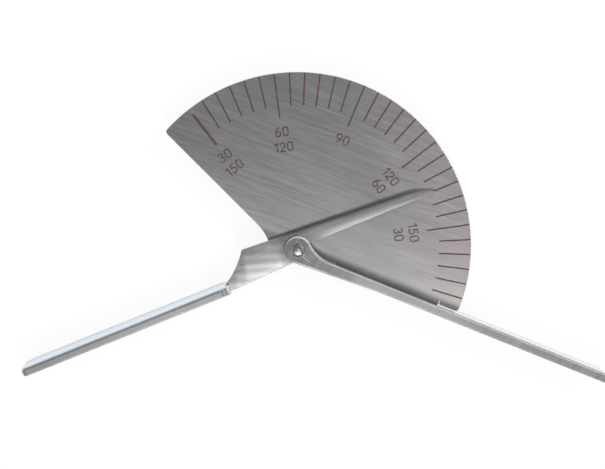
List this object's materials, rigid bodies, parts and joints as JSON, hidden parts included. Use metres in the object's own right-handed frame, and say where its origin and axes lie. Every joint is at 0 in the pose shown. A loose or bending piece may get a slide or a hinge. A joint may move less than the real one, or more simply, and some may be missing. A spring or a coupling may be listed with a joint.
{
  "type": "finger goniometer",
  "caption": "Pocket protractor for finger joints: a fan-shaped dial on a fixed arm, and a hinged arm whose pointer sweeps the degree scale.",
  "frame": {"origin": "on the pivot axis, in the front face of the dial", "axes": "+X along the fixed arm from the pivot to its tip, +Z along the pivot out of the dial's printed face, +Y across the dial, away from the finger; the tool lies on its back"},
  "size_m": [0.1203, 0.0853, 0.0088],
  "materials": {
    "dial_steel": "fine straight brushing, satin",
    "arm_steel": "ground edges and satin faces",
    "pointer_steel": "ground edges and satin faces",
    "rivet_steel": "peened, satin",
    "washer_plastic": "slippery, matt",
    "scale_ink": "dark maroon fired-on ink, matt"
  },
  "bodies": {
    "dial_and_fixed_arm": {"protractor_plate": "dial_steel", "fixed_arm": "arm_steel", "pivot_rivet": "rivet_steel", "friction_washer": "washer_plastic", "backing_washer": "rivet_steel", "scale_marks": "scale_ink", "scale_numerals": "scale_ink"},
    "pointer_arm": {"pointer_arm": "pointer_steel"}
  },
  "joints": [
    {"name": "arm_hinge", "type": "hinge", "parent": "dial_and_fixed_arm", "child": "pointer_arm", "pos_m": [0, 0, 0], "axis": [0, 0, 1], "range_deg": [-44, 106]}
  ]
}
